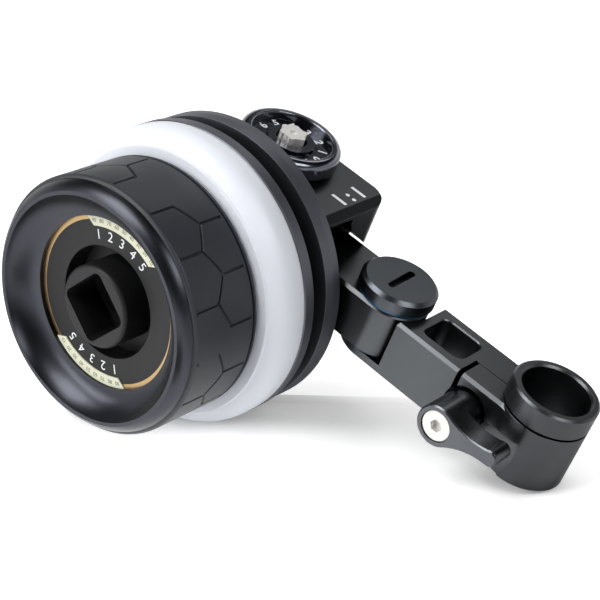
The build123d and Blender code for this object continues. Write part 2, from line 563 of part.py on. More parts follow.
# ==== index disc and damping ring =========================================
small_head = (SMALL_HEAD_R, SMALL_HEAD_T)
rim_y = INDEX_BACK - BOX_FRONT
rim_in = INDEX_R - INDEX_RIM
index = on_wheel(profile((NOSE_R + PAD, INDEX_Y), (INDEX_R - INDEX_TAPER, INDEX_Y), (INDEX_R, INDEX_Y + INDEX_TAPER_L),
                         (INDEX_R, rim_y), (rim_in, rim_y), (rim_in, -BOX_FRONT), (NOSE_R + PAD, -BOX_FRONT)))
housing -= tube_y(INDEX_R + GAP, rim_in - GAP, -BOX_FRONT - 1, rim_y + GAP)
index_screws = []
for turn in (INDEX_SCREW_TURN, 180 - INDEX_SCREW_TURN, 180 + INDEX_SCREW_TURN, -INDEX_SCREW_TURN):
    place = facing_front(INDEX_Y, INDEX_SCREW_AT, turn)
    index_screws.append(place * flat_screw(*small_head, SMALL_SCREW_R, INDEX_SCREW_L, SMALL_SCREW_R * 1.4))
    index -= place * flat_seat(*small_head, SMALL_SCREW_R, INDEX_T + 1)
    housing -= place * rod_z(SMALL_SCREW_R, -INDEX_SCREW_L - PAD, 0, x=0)
parts["gearbox_housing"] = housing
parts["index_disc"] = index
parts["index_screws"] = index_screws
parts["damping_ring"] = tube_y(DAMP_R, DAMP_R - DAMP_W, FLANGE_REAR + GAP, INDEX_Y - PAD)

# ==== wheel shaft and its bearings ========================================
races, inners = [], []
outer, inner = ball_bearing(WHEEL_SHAFT_R, WHEEL_BEARING_R)
for y in (front_bearing_y, rear_bearing_y):
    races += [facing_back(y) * piece for piece in outer]
    inners.append(facing_back(y) * inner)
parts["wheel_bearing_outers"] = races
parts["wheel_bearing_inners"] = inners

collar_y = front_bearing_y - COLLAR_L
neck_y = rear_bearing_y + BEARING_T
neck_r = WHEEL_SHAFT_R - SHAFT_NECK
tail_y = -GEAR_SHAFT_R - 1.0
wheel_shaft = on_wheel(profile(
    (0, RECESS_Y), (WHEEL_SHAFT_R, RECESS_Y), (WHEEL_SHAFT_R, collar_y), (wheel_race_r, collar_y),
    (wheel_race_r, front_bearing_y), (WHEEL_SHAFT_R, front_bearing_y), (WHEEL_SHAFT_R, neck_y), (0, neck_y)))
wheel_shaft += facing_back(neck_y) * with_flat(neck_r, tail_y - neck_y)
wheel_shaft -= rod_y(HUB_SCREW_R, RECESS_Y - 1, RECESS_Y + HUB_SCREW_L)
wheel_gear = mitre_gear(PAD, wheel_race_r, -neck_y - MITRE_R - PAD)
wheel_gear_place = Plane(origin=(GEAR_X, 0, WHEEL_Z), x_dir=(0, 0, 1), z_dir=(0, -1, 0))
wheel_gear = wheel_gear_place * wheel_gear - facing_back(neck_y) * with_flat(neck_r, tail_y - neck_y)
parts["wheel_bevel_gear"] = wheel_gear
clip_y = -MITRE_R + MITRE_FACE + PAD
clip_seat = neck_r - CLIP_T
clip = tube_y(CLIP_R, clip_seat, clip_y, clip_y + CLIP_T)
wheel_shaft -= tube_y(CLIP_R, clip_seat, clip_y, clip_y + CLIP_T)
clip -= block(GEAR_X - CLIP_OPEN / 2, GEAR_X + CLIP_OPEN / 2, clip_y - 1, clip_y + 1, WHEEL_Z, WHEEL_Z + CLIP_R + 1)
parts["wheel_shaft_clip"] = clip

# ==== gear shaft and what it carries ======================================
races, inners = [], []
outer, inner = ball_bearing(GEAR_SHAFT_R, GEAR_BEARING_R)
for z in (low_seat, top_seat):
    races += [Pos(GEAR_X, 0, z) * piece for piece in outer]
    inners.append(Pos(GEAR_X, 0, z) * inner)
parts["gear_bearing_outers"] = races
parts["gear_bearing_inners"] = inners

drive_top = BOX_BOTTOM - DRIVE_GAP
drive_low = drive_top - DRIVE_W
shaft_low = drive_low + DRIVE_DISH
collar_z = low_seat + BEARING_T
gear_front = WHEEL_Z + MITRE_R - MITRE_FACE
slim_r = GEAR_SHAFT_R - SHAFT_STEP
knob_low = BOX_TOP + GAP
knob_top = knob_low + KNOB_H
knob_floor = knob_top - KNOB_DISH
shaft_top = knob_floor - GAP
flat_low = drive_top - shaft_low
gear_shaft = turned(profile(
    (0, drive_top), (GEAR_SHAFT_R, drive_top), (GEAR_SHAFT_R, collar_z), (gear_race_r, collar_z),
    (gear_race_r, collar_z + COLLAR_L), (slim_r, collar_z + COLLAR_L), (slim_r, gear_front - GAP),
    (GEAR_SHAFT_R, gear_front - GAP), (GEAR_SHAFT_R, knob_low), (0, knob_low)))
gear_shaft += Pos(0, 0, shaft_low) * with_flat(GEAR_SHAFT_R, flat_low)
gear_shaft += Pos(0, 0, knob_low) * with_flat(GEAR_SHAFT_R, shaft_top - knob_low)
gear_shaft -= rod_z(TAP_R, shaft_low - 1, shaft_low + TAP_L, x=0)
gear_shaft -= rod_z(TAP_R, shaft_top - TAP_L, shaft_top + 1, x=0)
gear_shaft = Pos(GEAR_X, 0, 0) * gear_shaft

shaft_gear = mitre_gear(GEAR_SHAFT_R, MITRE_HUB_R, MITRE_HUB_L)
gap_turn = -90 + 180 / MITRE_TEETH
shaft_gear = Pos(GEAR_X, 0, WHEEL_Z) * Rot(0, 0, gap_turn) * shaft_gear
bevel_pin = Pos(GEAR_X, 0, WHEEL_Z + MITRE_R + MITRE_HUB_L / 2) * Rot(0, 90, 0) \
    * Cylinder(PIN_R, 2 * MITRE_HUB_R - GAP)
parts["bevel_pin"] = bevel_pin
parts["shaft_bevel_gear"] = shaft_gear - bevel_pin
parts["gear_shaft"] = gear_shaft - bevel_pin
spacer_low = WHEEL_Z + MITRE_R + MITRE_HUB_L + PAD
parts["shaft_spacer"] = (rod_z(gear_race_r, spacer_low, top_seat - PAD)
                         - rod_z(GEAR_SHAFT_R, spacer_low - 1, top_seat + 1))

drive = Pos(0, 0, drive_low) * spur_gear(DRIVE_TEETH, DRIVE_W)
drive += rod_z(gear_race_r, drive_top, low_seat - PAD, x=0)
drive -= rod_z(DRIVE_WASHER_R + GAP, drive_low - 1, drive_low + DRIVE_DISH, x=0)
drive -= Pos(0, 0, shaft_low) * with_flat(GEAR_SHAFT_R, flat_low)
drive -= rod_z(GEAR_SHAFT_R, drive_top, low_seat, x=0)
parts["drive_gear"] = Pos(GEAR_X, 0, 0) * drive
washer_z = shaft_low - PAD - DRIVE_WASHER_T
parts["drive_gear_washer"] = (rod_z(DRIVE_WASHER_R, washer_z, shaft_low - PAD)
                              - rod_z(TAP_R, washer_z - 1, shaft_low))
parts["drive_gear_screw"] = Pos(GEAR_X, 0, washer_z) * Rot(180, 0, 0) \
    * cap_screw(2 * TAP_R, TAP_R, TAP_R, TAP_L - GAP, HEX_AF)

rim_r = KNOB_R - KNOB_RIM
boss_top = knob_top - KNOB_BOSS_DROP
knob = turned(profile(
    (0, knob_low), (KNOB_R - KNOB_RIM / 3, knob_low), (KNOB_R, knob_low + KNOB_RIM / 3),
    (KNOB_R, knob_top, KNOB_RIM * 0.7), (rim_r, knob_top, KNOB_RIM * 0.2), (rim_r, knob_floor),
    (KNOB_BOSS_R, knob_floor), (KNOB_BOSS_R - KNOB_BOSS_EDGE, boss_top),
    (STAR_R + STAR_POCKET, boss_top), (STAR_R + STAR_POCKET, knob_floor), (0, knob_floor)))
knob += rod_z(gear_race_r, top_seat + BEARING_T + PAD, knob_low, x=0)
knob -= rod_z(GEAR_SHAFT_R, top_seat, knob_low, x=0)
knob -= Pos(0, 0, knob_low) * with_flat(GEAR_SHAFT_R, shaft_top - knob_low)
knob -= rod_z(TAP_R, shaft_top, knob_top + 1, x=0)
parts["shaft_knob"] = Pos(GEAR_X, 0, 0) * knob
star = Circle(STAR_R - STAR_LOBE_R / 2)
for i in range(STAR_LOBES):
    star += Rot(0, 0, 360 / STAR_LOBES * i) * Pos(STAR_R - STAR_LOBE_R, 0) * Circle(STAR_LOBE_R)
star_top = knob_floor + PAD + STAR_H
star_head = (STAR_R - STAR_LOBE_R, TAP_R / 2)
star_place = Pos(GEAR_X, 0, star_top)
parts["star_stub"] = Pos(GEAR_X, 0, knob_floor + PAD) * extrude(star, STAR_H) \
    - star_place * flat_seat(*star_head, TAP_R, STAR_H + 1)
parts["star_screw"] = star_place * flat_screw(*star_head, TAP_R, TAP_L, TAP_R)

# ==== hand wheel ==========================================================
barrel_in = BARREL_R - BARREL_WALL
hub_r = WHEEL_SHAFT_R + HUB_WALL
core = on_wheel(profile(
    (WHEEL_SHAFT_R, RECESS_Y), (barrel_in, RECESS_Y), (barrel_in, GRIP_Y + SPIGOT), (BARREL_R, GRIP_Y + SPIGOT),
    (BARREL_R, FLANGE_Y), (barrel_in, FLANGE_Y), (barrel_in, WEB_REAR), (hub_r, WEB_REAR), (hub_r, collar_y),
    (WHEEL_SHAFT_R, collar_y)))
flange_in = NOSE_R + FLANGE_SPACE
flange = on_wheel(profile(
    (flange_in, FLANGE_Y), (DISC_R - DISC_EDGE / 2, FLANGE_Y), (DISC_R, FLANGE_Y + DISC_EDGE / 2),
    (DISC_R, FLANGE_REAR - DISC_EDGE), (DISC_R - DISC_EDGE, FLANGE_REAR), (flange_in, FLANGE_REAR)))
flange_screws = []
for i in range(FLANGE_SCREWS):
    place = facing_back(FLANGE_REAR, BARREL_R - BARREL_WALL / 2, 360 / FLANGE_SCREWS * (i + 0.5))
    flange_screws.append(place * flat_screw(*small_head, SMALL_SCREW_R, FLANGE_SCREW_L, SMALL_SCREW_R * 1.4))
    flange -= place * flat_seat(*small_head, SMALL_SCREW_R, FLANGE_T + 1)
    core -= place * rod_z(SMALL_SCREW_R, -FLANGE_SCREW_L - PAD, 0, x=0)
parts["wheel_flange"] = flange
parts["flange_screws"] = flange_screws
hub_pin = Pos(GEAR_X, (WEB_REAR + collar_y) / 2, WHEEL_Z) * Cylinder(HUB_PIN_R, 2 * hub_r - GAP)
parts["hub_pin"] = hub_pin
parts["wheel_core"] = core - hub_pin
parts["wheel_shaft"] = wheel_shaft - hub_pin

sleeve_r = BARREL_R + PAD
mark_r = DISC_R - MARK_IN
mark_rear = FLANGE_Y - PAD
mark_front = (DISC_R - MARK_STEP, MARK_Y)
mark_edge = (mark_front[0] + MARK_EDGE / 2, MARK_Y + MARK_EDGE)
dome = SagittaArc(mark_edge, (mark_r, MARK_Y + MARK_CONE), -MARK_BULGE)
mark_rest = Polyline((mark_r, MARK_Y + MARK_CONE), (mark_r, mark_rear), (sleeve_r, mark_rear), (sleeve_r, MARK_Y),
                     mark_front, mark_edge)
parts["marking_ring"] = on_wheel(make_face(Wire([*dome.edges(), *mark_rest.edges()])))
parts["rubber_grip"] = on_wheel(profile(
    (sleeve_r, GRIP_Y), (FRONT_R, GRIP_Y), (GRIP_R, GRIP_Y + GRIP_SHOULDER, GRIP_SHOULDER),
    (GRIP_R, GRIP_REAR, MARK_SEAM), (sleeve_r, GRIP_REAR)))
dish_foot = (DISH_R, FACE_Y - DISH_STEP)
dish_crest = (LIP_R - LIP_W / 2, CREST_Y)
dish = SagittaArc(dish_foot, dish_crest, DISH_HOLLOW)
spigot_r = barrel_in - PAD
outer_crest = (LIP_R + LIP_W / 2, CREST_Y)
outer_foot = (FRONT_R, GRIP_Y - PAD)
outside = SagittaArc(outer_crest, outer_foot, -FRONT_BULGE)
back = Polyline(outer_foot, (BARREL_R, GRIP_Y - PAD), (BARREL_R, GRIP_Y + SPIGOT - PAD),
                (spigot_r, GRIP_Y + SPIGOT - PAD), (spigot_r, GRIP_Y + SPIGOT_L), (DISH_R, GRIP_Y + SPIGOT_L), dish_foot)
crest = Line(dish_crest, outer_crest)
parts["front_ring"] = on_wheel(make_face(Wire([*dish.edges(), crest, *outside.edges(), *back.edges()])))

accent_in = DISH_R - ACCENT_W
parts["face_plate"] = on_wheel(profile(
    (BORE_R_FACE, FACE_Y, 0.2), (accent_in, FACE_Y), (accent_in, FACE_Y + ACCENT_T),
    (DISH_R - PAD, FACE_Y + ACCENT_T), (DISH_R - PAD, RECESS_Y - PAD), (BORE_R_FACE, RECESS_Y - PAD)))
parts["accent_ring"] = tube_y(DISH_R - PAD, accent_in + PAD, FACE_Y, FACE_Y + ACCENT_T - PAD)
inlays = []
for centre in (INLAY_AT, INLAY_AT + 180):
    start = centre - INLAY_SPAN / 2
    long_arc = CenterArc((0, 0), DISH_R - 2 * PAD, start, INLAY_SPAN)
    short_arc = CenterArc((0, 0), DISH_R - INLAY_W, start + INLAY_SLOPE, INLAY_SPAN - 2 * INLAY_SLOPE)
    ends = [Line(long_arc @ i, short_arc @ i) for i in (0, 1)]
    strip = make_face(Wire([long_arc, ends[1], short_arc, ends[0]]))
    inlays.append(facing_front(FACE_Y - PAD) * extrude(strip, INLAY_T))
parts["face_inlays"] = inlays

foot_y = RECESS_Y - SOCKET_FOOT
foot_r = BORE_R_FACE - PAD
socket = on_wheel(profile(
    (0, SOCKET_Y), (SOCKET_R, SOCKET_Y, SOCKET_EDGE), (SOCKET_R, foot_y), (foot_r, foot_y),
    (foot_r, RECESS_Y - PAD), (0, RECESS_Y - PAD)))
square = Rot(0, 0, SOCKET_TURN) * RectangleRounded(SOCKET_SQ, SOCKET_SQ, SOCKET_CORNER)
floor_y = SOCKET_Y + SOCKET_DEEP
socket -= facing_front(floor_y) * extrude(square, SOCKET_DEEP + 1)
socket -= rod_y(HUB_SCREW_R, floor_y - 1, RECESS_Y + 1)
parts["crank_socket"] = socket
hub_screw_l = RECESS_Y - floor_y + HUB_SCREW_L - GAP
parts["hub_screw"] = facing_front(floor_y - PAD) \
    * cap_screw(HUB_SCREW_HEAD_R, HUB_SCREW_HEAD_H, HUB_SCREW_R, hub_screw_l, HEX_AF)

# ==== clamp lever =========================================================
hub_front = SIDE_Y - HUB_L
hub_back = seat_y - LEVER_WASHER_T - 2 * PAD
tip_r = WING_W / 2
tip_x = WING_L - tip_r
top_root, low_root = [(HUB_R * cos(radians(turn)), HUB_R * sin(radians(turn))) for turn in WING_ROOT]
top_edge = SagittaArc(top_root, (tip_x, WING_RISE + tip_r), -WING_WAIST)
low_edge = SagittaArc((tip_x, WING_RISE - tip_r), low_root, -WING_WAIST)
sides = [*top_edge.edges(), Line(top_edge @ 1, low_edge @ 0), *low_edge.edges(), Line(low_edge @ 1, top_edge @ 0)]
lever_face = make_face(Wire(sides)) + Pos(tip_x, WING_RISE) * Circle(tip_r) + Circle(HUB_R)
lever = extrude(Pos(0, 0, -WING_T) * lever_face, WING_T)
lever = chamfer(lever.edges().group_by(Axis.Z)[-1], LEVER_EDGE)
lever += rod_z(HUB_R, hub_front - hub_back, -WING_T, x=0)
screw_head = (LEVER_SCREW_HEAD_R, LEVER_SCREW_HEAD_T)
lever -= Pos(0, 0, -LEVER_EDGE) * flat_seat(LEVER_SCREW_HEAD_R + GAP / 2, LEVER_SCREW_HEAD_T, LEVER_SCREW_R, HUB_L)
bolt_top = -LEVER_SCREW_HEAD_T - LEVER_EDGE - GAP
lever -= rod_z(BOLT_R, hub_front - hub_back - 1, bolt_top, x=0)
lever_place = facing_front(hub_front, x=LEVER_X, z=ARM_MID)
parts["clamp_lever"] = lever_place * lever
parts["lever_screw"] = lever_place * Pos(0, 0, -LEVER_EDGE) \
    * flat_screw(*screw_head, LEVER_SCREW_R, LEVER_SCREW_L, HEX_AF)
bolt = rod_z(BOLT_R, hub_front - insert_y1 + PAD, bolt_top, x=0)
bolt = chamfer(bolt.edges().group_by(Axis.Z)[0], LEVER_EDGE)
bolt -= rod_z(LEVER_SCREW_R, -LEVER_SCREW_L - LEVER_EDGE - GAP, 0, x=0)
parts["clamp_bolt"] = lever_place * bolt
parts["lever_washer"] = (rod_y(HUB_R, hub_back + PAD, seat_y - PAD, LEVER_X, ARM_MID)
                         - rod_y(BOLT_R + FIT, hub_back, seat_y, LEVER_X, ARM_MID))

# ==== write one STEP file per node ========================================
os.makedirs("parts", exist_ok=True)
for name, shape in parts.items():
    solids = []
    for piece in (shape if isinstance(shape, list) else [shape]):
        solids += list(piece.solids())
    body = solids[0] if len(solids) == 1 else Compound(children=solids)
    export_step(body, os.path.join("parts", name + ".step"))
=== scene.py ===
"""Follow focus unit for camera rods: finishes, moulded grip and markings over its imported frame."""
import json
import math
import random

import bmesh
import bpy
from mathutils import Matrix, Vector


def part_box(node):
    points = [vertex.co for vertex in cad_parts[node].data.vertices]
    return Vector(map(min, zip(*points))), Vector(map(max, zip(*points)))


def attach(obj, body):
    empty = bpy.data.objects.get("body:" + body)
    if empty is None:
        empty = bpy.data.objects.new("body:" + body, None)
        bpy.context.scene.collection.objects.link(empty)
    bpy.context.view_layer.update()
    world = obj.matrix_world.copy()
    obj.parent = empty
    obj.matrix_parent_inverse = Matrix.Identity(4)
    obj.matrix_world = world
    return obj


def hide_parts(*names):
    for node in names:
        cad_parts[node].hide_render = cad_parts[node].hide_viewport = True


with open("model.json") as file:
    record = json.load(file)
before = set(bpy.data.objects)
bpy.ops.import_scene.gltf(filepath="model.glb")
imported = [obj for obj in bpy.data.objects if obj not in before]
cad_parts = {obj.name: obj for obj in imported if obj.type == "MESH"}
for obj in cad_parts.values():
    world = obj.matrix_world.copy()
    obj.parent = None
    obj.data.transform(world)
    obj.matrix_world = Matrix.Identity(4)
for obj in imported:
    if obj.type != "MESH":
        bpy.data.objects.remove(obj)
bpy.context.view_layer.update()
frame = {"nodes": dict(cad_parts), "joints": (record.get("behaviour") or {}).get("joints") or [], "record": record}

bl_info = {
    "name": "Follow Focus Unit",
    "version": (1, 0, 0),
    "blender": (4, 5, 0),
    "location": "View3D > Sidebar > Follow Focus",
    "description": "Gives the follow focus unit its finishes, moulded grip, markings, stage and camera",
    "category": "Object",
}

MM = 0.001
PIVOT = {joint["name"]: Vector(joint["pos_m"]) for joint in frame["joints"]}
WHEEL = PIVOT["wheel_turn"]
GEAR = PIVOT["gear_turn"]
SLOT_OF = {part["node"]: part["material_slot"] for part in frame["record"]["subparts"]}
FINISH_NAMES = {}                       # each slot's material, filled in by the finishes operator

# machined skins
CORNER = 0.18 * MM                      # radius to which a corner looks rounded
CORNER_GAIN = 2.5                       # brightness of the mask that finds the corners
PAINTED_SHADE_REACH = 7 * MM                   # distance at which a near wall still darkens a hollow's colour, as painted shade
PAINTED_SHADE_OPEN = (0.15, 0.7)               # openness of the deepest hollow and of a plain face, for the painted shade
PAINTED_SHADE_TINT = 0.25                      # share of the tint that is left deep in a hollow, as painted shade
LATHE_PITCH = 0.5 * MM                  # distance between two turning marks
CLOUD_MM = 14                           # size of the dye's clouds
MOULD_CLOUD_MM = 9                      # size of the clouds in plastic and rubber
GLOW_DEPTH = 2.5 * MM                   # depth to which light wanders in translucent plastic

# moulded grip
ROW_STEP = 0.866                        # distance between rows of cells, in cells
ROW_SHIFT = 0.35                        # start of the first row behind the front edge, in rows
DRAW = 11                               # seed of the groove runs
RUN_SIDES = (4, 7)                      # fewest and most sides of a cell in one run
FLOOR_SHARE = 0.3                       # inset of a groove's floor, in groove widths
COLLAR = ((0, 0.5), (1, 0.6), (1, 1.4), (0, 1.5))   # rear groove: depth in depths, place in widths
ROUND_STEPS = 4                         # steps of a rounded end, over a quarter turn
COLUMNS = 6                             # narrow columns that one cell is cut into before it is rolled
FIT = 0.02 * MM                         # gap between the grip's bore and the barrel

# print
INK = 0.06 * MM                         # thickness of the screen print
FILM_INK = 0.04 * MM                    # thickness of the print on the cream film
NUMERAL = 3.0 * MM                      # size of the numerals on the knob and the face plate
KNOB_PRINT_R, KNOB_START, KNOB_WEIGHT = 7.35 * MM, 8, 0.06 * MM     # radius, first angle, added weight
SINK = 0.02 * MM                        # depth of the knob's print below the foot of the star stub
ARC_MIDDLES = (93, 273)                 # angles of the middles of the two arcs, in degrees
ARC_PRINT_R, ARC_STEP, ARC_NUMERAL = 17.65 * MM, 7, 1.25 * MM       # radius, step in degrees, size
FACE_PRINT_R, FACE_STEP = 14.6 * MM, 13                             # radius, step in degrees
RATIO_AT, RATIO_SIZE, RATIO_WEIGHT = (-61.6 * MM, 1.8 * MM), 5.4 * MM, 0.16 * MM    # place, size, added weight

# camera
LENS, SENSOR = 97.77, 36.0              # focal length and sensor width in millimetres
CAMERA_AIM, CAMERA_AWAY = Vector((-52.15, -19.1, 1.5)) * MM, 340 * MM      # point looked at and distance to it
CAMERA_TURN, CAMERA_RISE, CAMERA_ROLL = (math.radians(angle) for angle in (28.05, 33.91, 22.12))

# paper floor: each fall is where it starts and how far it reaches, in millimetres
FLOOR_CELLS, FLOOR_REACH, FLOOR_FINE = 160, 2.0, 0.05   # cells a side, half width in metres, evenness
FRONT_FALL, LEFT_FALL, BACK_FALL = (-25, 17), (25, 20), (38, 14)
BACK_SHARE = 0.64                       # depth of the back fall, in front falls
PAPER_GLOW, PAINTED_POOL_GLOW, SHEER = 0.75, 0.9, 0.15          # white glow seen on the paper, painted pool of light before the wheel, share seen through it
PAINTED_SHADOW_REACH, PAINTED_SHADOW_OPEN = 50 * MM, (0.15, 0.85)         # distance and openness at which the unit dims the white glow, a painted shadow
PAINTED_POOL_AHEAD, PAINTED_POOL_LEFT = (-27 * MM, -10 * MM), (-25 * MM, -60 * MM)      # where the painted pool of light starts and is full

FLAG_R, FLAG_LEVEL, FLAG_LEAN = 1.5, 0.35, -0.3         # cloth dome: radius and rim's height in metres, slope
FILL, WHITE = 0.35, 1.0                 # strength of the sky as a fill, and where it is seen or mirrored
CARDS = (
    # name, millimetres toward the camera and to the right, half width and half depth
    ("front_card", 96, -58.5, 45, 39),
    ("back_card", -62, 56, 30, 22),
)
LAMPS = (
    # name, turn from the camera and rise in degrees, distance, width and height in metres, watts
    ("key_lamp", -60, 52, 0.75, 0.45, 0.45, 4.9),
    ("side_lamp", -68, 19, 0.8, 0.55, 0.16, 2.6),
    ("fill_lamp", 45, 34, 0.8, 0.4, 0.3, 2.2),
    ("back_lamp", 165, 57, 0.8, 0.7, 0.2, 1.0),
)


def linear(code):
    """An sRGB hex colour as linear red, green, blue and alpha."""
    parts = [int(code[i:i + 2], 16) / 255 for i in (1, 3, 5)]
    return tuple(c / 12.92 if c <= 0.04045 else ((c + 0.055) / 1.055) ** 2.4 for c in parts) + (1.0,)


def colour(code, name, description):
    """A colour property that starts at an sRGB hex value."""
    return bpy.props.FloatVectorProperty(
        name=name, description=description, default=linear(code), size=4, subtype="COLOR", min=0, max=1)


def length(millimetres, name, description):
    """A length property that starts at a size in millimetres."""
    return bpy.props.FloatProperty(
        name=name, description=description, default=millimetres * MM, unit="LENGTH", precision=5, min=0)


class FollowFocusFinishes(bpy.types.PropertyGroup):
    """Colours of the unit's finishes."""
    arm: colour("#4c4e50", "Arms", "Dyed aluminium of the arms and the gearbox")
    disc: colour("#5c5e64", "Discs", "Turned aluminium of the two discs")
    dish: colour("#393a3f", "Front ring", "Turned aluminium of the dished front ring")
    face: colour("#141416", "Face plate", "Matt paint of the face plate")
    lever: colour("#535558", "Lever", "Dyed aluminium of the clamp lever")
    cap: colour("#4a4d51", "Pivot cap", "Blackened steel of the pivot screw's cap")
    knob: colour("#5f626a", "Knob", "Polished black aluminium of the shaft knob")
    rubber: colour("#1a1f26", "Rubber", "Moulded rubber of the grip")
    marking: colour("#dfe2e9", "Marking ring", "Translucent white plastic of the marking ring")
    accent: colour("#a98f68", "Accent ring", "Bronze-coloured aluminium of the thin ring")
    inlay: colour("#d8d8c0", "Inlays", "Cream film of the two arcs")
    steel: colour("#e2e0dc", "Stainless steel", "Bare stainless steel of the bright screws and bearings")
    blackened: colour("#1d1e20", "Blackened screws", "Black oxide of the small screws")
    brass: colour("#c2a060", "Brass", "Brass of the bush and the insert")
    washer: colour("#1d5578", "Washers", "Blue polymer of the friction washers")
    gear: colour("#303033", "Gears", "Hard dyed aluminium of the gears")
    print_white: colour("#eef0f2", "White print", "White screen print of the numerals")
    print_grey: colour("#5e5f55", "Grey print", "Grey print on the cream arcs")


class FollowFocusGrip(bpy.types.PropertyGroup):
    """Sizes of the moulded grip."""
    cells: bpy.props.IntProperty(
        name="Cells", description="Cells of the groove pattern around the grip", default=16, min=6)
    groove_width: length(0.7, "Groove width", "Width of a moulded groove")
    groove_depth: length(0.45, "Groove depth", "Depth of a moulded groove")
    shoulder: length(0.9, "Shoulder", "Radius of the rounded front shoulder")
    seam: length(0.5, "Rear edge", "Radius of the rounded rear edge")
    runs: bpy.props.IntProperty(
        name="Groove runs", description="Runs of grooves around the grip", default=84, min=1)


class FollowFocusStage(bpy.types.PropertyGroup):
    """Floor, lamps and camera."""
    floor_tilt: bpy.props.FloatProperty(
        name="Floor tilt", description="Lean of the unit on the floor it lies on", default=math.radians(21.9),
        subtype="ANGLE", unit="ROTATION")
    floor_drop: length(12.6, "Floor drop", "Distance from the rod's centre down to the floor")
    floor_fall: length(12.5, "Floor fall", "Depth to which the paper falls away in front of the wheel")
    lamp_level: bpy.props.FloatProperty(
        name="Lamp level", description="Strength of all lamps together", default=1.0, min=0, subtype="FACTOR")


# ---- nodes and materials -------------------------------------------------
MIX_A, MIX_B, MIX_COLOUR = 6, 7, 2      # the colour sockets of a Mix node


def add(tree, kind, inputs=None, **settings):
    """Adds one node with its settings; an input is given a value, or a socket to be linked to."""
    made = tree.nodes.new(kind)
    for name, value in settings.items():
        setattr(made, name, value)
    for key, value in (inputs or {}).items():
        if isinstance(value, bpy.types.NodeSocket):
            tree.links.new(value, made.inputs[key])
        else:
            made.inputs[key].default_value = value
    return made


def calc(tree, operation, first, second, **settings):
    """The result of one Math node."""
    return add(tree, "ShaderNodeMath", {0: first, 1: second}, operation=operation, **settings).outputs["Value"]


def dot(tree, first, second):
    """The dot product of two vectors."""
    return add(tree, "ShaderNodeVectorMath", {0: first, 1: second}, operation="DOT_PRODUCT").outputs["Value"]


def spread(tree, value, low, high, start_at=0.0, end_at=1.0, **settings):
    """A value that is carried from one range to another and held at the ends."""
    return add(tree, "ShaderNodeMapRange", {
        "Value": value, "From Min": start_at, "From Max": end_at, "To Min": low, "To Max": high,
    }, **settings).outputs["Result"]


def mixed(tree, share, first, second):
    """A colour between two others."""
    return add(tree, "ShaderNodeMix", {0: share, MIX_A: first, MIX_B: second},
               data_type="RGBA").outputs[MIX_COLOUR]


def noise(tree, where, size_mm, detail=2.0, roughness=0.5):
    """Noise with grains of this size."""
    return add(tree, "ShaderNodeTexNoise", {
        "Vector": where, "Scale": 1 / (size_mm * MM), "Detail": detail, "Roughness": roughness,
    }).outputs["Fac"]


def scaled(tint, share, lift=0.0):
    """A tint made darker or brighter."""
    return [min(1.0, c * share + lift) for c in tint[:3]] + [1.0]


def start(name):
    """An empty node material, its tree and its output."""
    made = bpy.data.materials.new(name)
    made.use_nodes = True
    made.node_tree.nodes.clear()
    return made, made.node_tree, add(made.node_tree, "ShaderNodeOutputMaterial")


def place_of(tree, centre=(0, 0, 0)):
    """Object coordinates, measured from a centre."""
    where = add(tree, "ShaderNodeTexCoord")
    return add(tree, "ShaderNodeMapping", {
        "Location": [-c for c in centre], "Vector": where.outputs["Object"],
    }).outputs["Vector"]


def rounded_edge(tree):
    """A normal that rounds the corners, and a mask that is bright on them."""
    soft = add(tree, "ShaderNodeBevel", {"Radius": CORNER}, samples=4).outputs["Normal"]
    true = add(tree, "ShaderNodeNewGeometry").outputs["Normal"]
    away = calc(tree, "SUBTRACT", 1.0, dot(tree, soft, true))
    return soft, calc(tree, "MULTIPLY", away, CORNER_GAIN, use_clamp=True)


def surface(tree, out, base, rough, height, relief, depth_mm, normal=None, **shine):
    """Closes a material with one principled surface: its colour, roughness and fine relief."""
    fine = {"Height": height, "Strength": relief, "Distance": depth_mm * MM}
    if normal is not None:
        fine["Normal"] = normal
    bump = add(tree, "ShaderNodeBump", fine)
    shader = add(tree, "ShaderNodeBsdfPrincipled", {
        "Base Color": base, "Roughness": rough, "Normal": bump.outputs["Normal"],
        **{key.replace("_", " "): value for key, value in shine.items()},
    })
    tree.links.new(shader.outputs["BSDF"], out.inputs["Surface"])


def anodised(name, tint, rough, grain_mm, turned_about=None, axis="Y", metallic=1.0, wear=0.3, coat=0.0):
    """Dyed anodised aluminium: a dark oxide skin, paler on its corners, with painted shade that darkens its hollows.

    Blasted parts get a fine even grain; turned parts get the lathe's rings about their axis.
    """
    made, tree, out = start(name)
    where = place_of(tree, turned_about or (0, 0, 0))
    grain = noise(tree, where, grain_mm, 3.0, 0.6)
    corner, edge = rounded_edge(tree)
    dyed = mixed(tree, noise(tree, where, CLOUD_MM), tint, scaled(tint, 1.22))
    worn = mixed(tree, calc(tree, "MULTIPLY", edge, wear), dyed, scaled(tint, 2.6, 0.02))
    # painted shade: the colour darkens where a wall stands near, as if in its shadow
    near = add(tree, "ShaderNodeAmbientOcclusion", {"Distance": PAINTED_SHADE_REACH}, samples=6)
    painted_shade_mix = spread(tree, near.outputs["AO"], 0.0, 1.0, *PAINTED_SHADE_OPEN)
    tone = mixed(tree, painted_shade_mix, scaled(tint, PAINTED_SHADE_TINT), worn)
    height = grain
    if turned_about:
        rings = add(tree, "ShaderNodeTexWave", {
            "Vector": where, "Scale": math.tau / (20 * LATHE_PITCH), "Distortion": 0.6, "Detail": 2.0,
            "Detail Scale": 1.5,
        }, wave_type="RINGS", rings_direction=axis)
        height = add(tree, "ShaderNodeMix", {0: 0.35, 2: rings.outputs["Fac"], 3: grain},
                     data_type="FLOAT").outputs[0]
    surface(tree, out, tone, spread(tree, grain, rough - 0.05, rough + 0.06), height, 0.22, 0.012, corner,
            Metallic=metallic, Coat_Weight=coat, Coat_Roughness=0.12)
    return made


